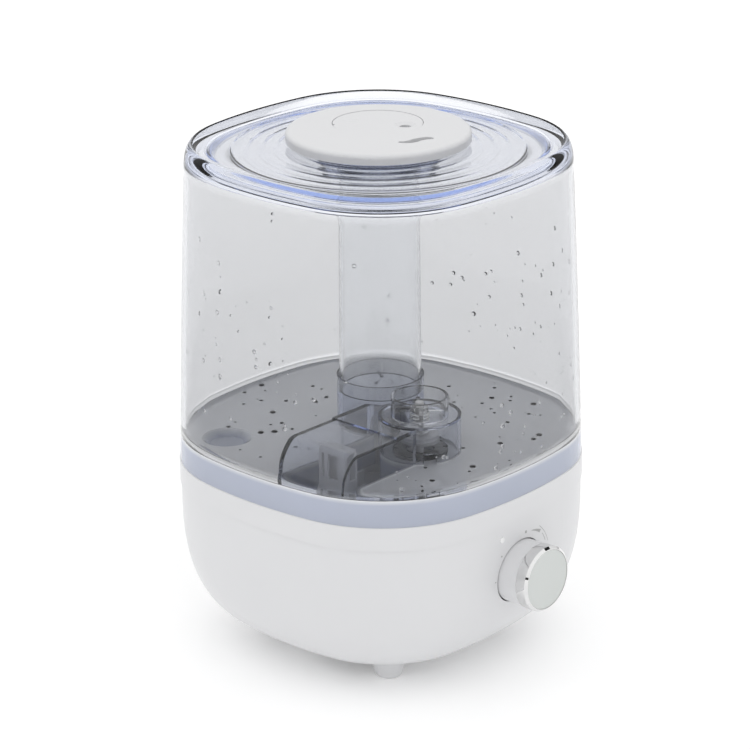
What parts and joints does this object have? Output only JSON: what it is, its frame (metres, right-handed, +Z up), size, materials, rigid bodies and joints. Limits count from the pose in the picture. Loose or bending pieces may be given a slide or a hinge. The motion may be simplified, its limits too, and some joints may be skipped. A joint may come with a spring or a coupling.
{
  "type": "cool mist humidifier",
  "caption": "Top filled ultrasonic humidifier: clear rounded-square tank with a mist tube on a white bowl base with a front knob.",
  "frame": {"origin": "bottom centre of the object's box, on the surface it stands on", "axes": "+Z up; the knob faces -Y; the air tunnel in the tank runs to -X"},
  "size_m": [0.2, 0.217, 0.2858],
  "materials": {
    "white_plastic": "satin gloss",
    "clear_plastic": "clear polished",
    "frosted_plastic": "clear, faintly frosted",
    "blue_clear_plastic": "clear polished, blue tint",
    "chrome_trim": "polished",
    "grey_plastic": "matte",
    "black_plastic": "matte",
    "foam_plastic": "closed foam",
    "clip_plastic": "matte",
    "seal_rubber": "matte",
    "steel": "satin",
    "aluminium": "extruded",
    "circuit_board": "solder mask",
    "capacitor_sleeve": "sleeve",
    "copper_winding": "enamelled wire",
    "contact_metal": "plated",
    "lens_plastic": "clear"
  },
  "bodies": {
    "base": {"air_duct": "grey_plastic", "air_outlet_hood": "white_plastic", "base_deck": "white_plastic", "base_shell": "white_plastic", "bottom_cover": "white_plastic", "capacitors": "capacitor_sleeve", "clamp_screws": "steel", "coil_core": "black_plastic", "coil_winding": "copper_winding", "control_board": "circuit_board", "cover_screws": "steel", "driver_board": "circuit_board", "driver_heat_sink": "aluminium", "fan_frame": "black_plastic", "float_clip": "clip_plastic", "foot_back_left": "white_plastic", "foot_back_right": "white_plastic", "foot_front_left": "white_plastic", "foot_front_right": "white_plastic", "indicator_led": "lens_plastic", "indicator_lens": "lens_plastic", "inlet_bracket": "grey_plastic", "inlet_pin": "contact_metal", "locating_pad": "white_plastic", "potentiometer": "grey_plastic", "power_inlet": "black_plastic", "ribbon_socket": "grey_plastic", "transducer_clamp": "aluminium", "transducer_disc": "steel", "transducer_seal": "seal_rubber"},
    "knob": {"knob_skirt": "white_plastic", "knob_ring": "chrome_trim", "knob_face": "white_plastic", "pot_shaft": "steel"},
    "fan": {"fan_rotor": "black_plastic"},
    "float": {"level_float": "foam_plastic"},
    "tank": {"tank_floor": "blue_clear_plastic", "tank_wall": "clear_plastic", "mist_tube": "frosted_plastic", "valve_cage": "frosted_plastic", "valve_spring": "steel"},
    "valve": {"valve_plunger": "grey_plastic", "valve_seal": "seal_rubber"},
    "lid": {"lid": "clear_plastic"},
    "cap": {"mist_cap": "white_plastic", "splash_guard": "white_plastic"},
    "insert": {"nozzle_insert": "white_plastic"}
  },
  "joints": [
    {"name": "knob_turn", "type": "hinge", "parent": "base", "child": "knob", "pos_m": [0, -0.0915, 0.062], "axis": [0, -1, 0], "range_deg": [0, 280]},
    {"name": "fan_spin", "type": "hinge", "parent": "base", "child": "fan", "pos_m": [-0.038, -0.0115, 0.037], "axis": [0, 0, 1], "continuous": true},
    {"name": "float_rise", "type": "slide", "parent": "base", "child": "float", "axis": [0, 0, 1], "range_m": [0, 0.008]},
    {"name": "tank_lift", "type": "slide", "parent": "base", "child": "tank", "axis": [0, 0, 1], "range_m": [0, 0.12]},
    {"name": "valve_close", "type": "slide", "parent": "tank", "child": "valve", "axis": [0, 0, -1], "range_m": [0, 0.0038], "deforming": ["valve_spring"]},
    {"name": "lid_lift", "type": "slide", "parent": "tank", "child": "lid", "axis": [0, 0, 1], "range_m": [0, 0.06]},
    {"name": "cap_turn", "type": "hinge", "parent": "lid", "child": "cap", "pos_m": [0, 0.0085, 0.28], "axis": [0, 0, 1], "continuous": true},
    {"name": "insert_turn", "type": "hinge", "parent": "cap", "child": "insert", "pos_m": [0.0083, 0.0165, 0.283], "axis": [0, 0, 1], "continuous": true}
  ],
  "couplings": [
    {"joint": "valve_close", "follows": "tank_lift", "ratio": 0.031667}
  ]
}
